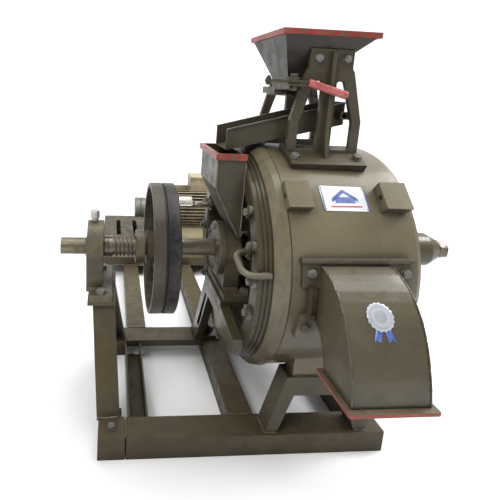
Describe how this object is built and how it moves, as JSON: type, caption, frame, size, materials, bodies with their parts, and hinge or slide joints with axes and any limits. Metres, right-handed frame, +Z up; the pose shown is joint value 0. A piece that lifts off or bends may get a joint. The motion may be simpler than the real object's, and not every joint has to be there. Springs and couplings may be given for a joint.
{
  "type": "hammer mill",
  "caption": "Belt-driven hammer mill with a drum on cradles, hopper on a cast trestle, sloping feed tray, feed box, side outlet chute and a slotted motor bed with a motor.",
  "frame": {"origin": "on the floor under the drive shaft's axis, in the plane of the mill pulley's outer face", "axes": "+X along the shaft from the pulley to the drum, +Y from the outlet side back to the motor, +Z up"},
  "size_m": [1.198, 2.017, 1.109],
  "materials": {
    "khaki_enamel": "oil-stained khaki enamel, semi-gloss",
    "dark_enamel": "dark brown-grey enamel, satin",
    "red_enamel": "red enamel, semi-gloss, rubbed edges",
    "blue_black_enamel": "blue-black enamel over cast iron, rubbed rim",
    "motor_enamel": "grey-green enamel, satin",
    "bright_steel": "turned and ground steel, light oil",
    "bolt_steel": "blackened steel, dull",
    "bare_iron": "as-cast iron, dull",
    "red_grip": "glossy red moulded plastic",
    "fan_plastic": "matt black plastic"
  },
  "bodies": {
    "frame": {"front_rail": "khaki_enamel", "centre_rail": "khaki_enamel", "right_rail": "khaki_enamel", "left_rail": "khaki_enamel", "middle_rail": "khaki_enamel", "rear_rail": "khaki_enamel", "stand_front_leg": "khaki_enamel", "stand_rear_leg": "khaki_enamel", "drum_cradles": "khaki_enamel", "shaft_bearings": "bright_steel", "outer_pedestal": "khaki_enamel", "inner_pedestal": "khaki_enamel", "inner_bearing_cover": "khaki_enamel", "inner_bracket": "khaki_enamel", "grease_cup_body": "bright_steel", "drum_casing": "khaki_enamel", "cover_bolts": "bolt_steel", "cover_handles": "bright_steel", "feed_cover": "khaki_enamel", "back_cover": "khaki_enamel", "tail_bracket": "khaki_enamel", "screen": "bare_iron", "outlet_chute": "khaki_enamel", "outlet_lip": "red_enamel", "hopper": "khaki_enamel", "hopper_lip": "red_enamel", "throat": "khaki_enamel", "lever_pivot": "bolt_steel", "hopper_trestles": "khaki_enamel", "feed_box": "khaki_enamel", "feed_box_lip": "red_enamel", "chute_tie_bar": "bright_steel", "motor_platform": "khaki_enamel", "pedestal_bolts": "bolt_steel", "hex_bolts": "bolt_steel"},
    "rotor": {"drive_shaft": "bright_steel", "pulley_key": "bright_steel", "mill_pulley": "blue_black_enamel", "lock_rings": "bright_steel", "rotor_discs": "bare_iron", "hammer_pins": "bolt_steel", "thrust_spring": "bright_steel"},
    "thrust_collar": {"spring_collar": "bright_steel"},
    "hammer_row_a": {"hammers_a": "bare_iron"},
    "hammer_row_b": {"hammers_b": "bare_iron"},
    "hammer_row_c": {"hammers_c": "bare_iron"},
    "hammer_row_d": {"hammers_d": "bare_iron"},
    "gate_lever": {"gate_lever": "dark_enamel", "lever_grip": "red_grip"},
    "slide_gate": {"slide_gate": "bright_steel"},
    "feed_tray": {"feed_tray": "khaki_enamel"},
    "grease_cap": {"grease_cup_cap": "bright_steel"},
    "motor": {"motor_frame": "motor_enamel", "motor_end_shields": "motor_enamel", "fan_cowl": "motor_enamel", "terminal_box": "motor_enamel", "motor_bolts": "bolt_steel"},
    "motor_rotor": {"motor_shaft": "bright_steel", "motor_fan": "fan_plastic", "motor_pulley": "bare_iron"}
  },
  "joints": [
    {"name": "rotor_spin", "type": "hinge", "parent": "frame", "child": "rotor", "pos_m": [0, 0, 0.484], "axis": [1, 0, 0], "continuous": true},
    {"name": "thrust_collar_slide", "type": "slide", "parent": "rotor", "child": "thrust_collar", "axis": [-1, 0, 0], "range_m": [0, 0.006], "stiffness_N_per_m": 8000, "deforming": ["thrust_spring"]},
    {"name": "motor_slide", "type": "slide", "parent": "frame", "child": "motor", "axis": [0, 1, 0], "range_m": [-0.06, 0.06]},
    {"name": "motor_spin", "type": "hinge", "parent": "motor", "child": "motor_rotor", "pos_m": [0, 1.18, 0.258], "axis": [1, 0, 0], "continuous": true},
    {"name": "gate_lever_turn", "type": "hinge", "parent": "frame", "child": "gate_lever", "pos_m": [0.335, -0.14, 0.977], "axis": [0, 0, -1], "range_deg": [0, 40]},
    {"name": "gate_slide", "type": "slide", "parent": "frame", "child": "slide_gate", "axis": [-1, 0, 0], "range_m": [0, 0.055]},
    {"name": "tray_tilt", "type": "hinge", "parent": "frame", "child": "feed_tray", "pos_m": [0.5, -0.015, 0.897], "axis": [0, 1, 0], "range_deg": [0, 1.5]},
    {"name": "grease_cap_turn", "type": "hinge", "parent": "frame", "child": "grease_cap", "pos_m": [-0.158, 0, 0.575], "axis": [0, 0, 1], "range_deg": [-360, 360]},
    {"name": "hammer_row_a_swing", "type": "hinge", "parent": "rotor", "child": "hammer_row_a", "pos_m": [0.456, 0.1096, 0.5936], "axis": [1, 0, 0], "range_deg": [-30, 30]},
    {"name": "hammer_row_b_swing", "type": "hinge", "parent": "rotor", "child": "hammer_row_b", "pos_m": [0.456, -0.1096, 0.5936], "axis": [1, 0, 0], "range_deg": [-30, 30]},
    {"name": "hammer_row_c_swing", "type": "hinge", "parent": "rotor", "child": "hammer_row_c", "pos_m": [0.456, -0.1096, 0.3744], "axis": [1, 0, 0], "range_deg": [-30, 30]},
    {"name": "hammer_row_d_swing", "type": "hinge", "parent": "rotor", "child": "hammer_row_d", "pos_m": [0.456, 0.1096, 0.3744], "axis": [1, 0, 0], "range_deg": [-30, 30]}
  ],
  "couplings": [
    {"joint": "gate_slide", "follows": "gate_lever_turn", "m_per_rad": 0.0787}
  ]
}
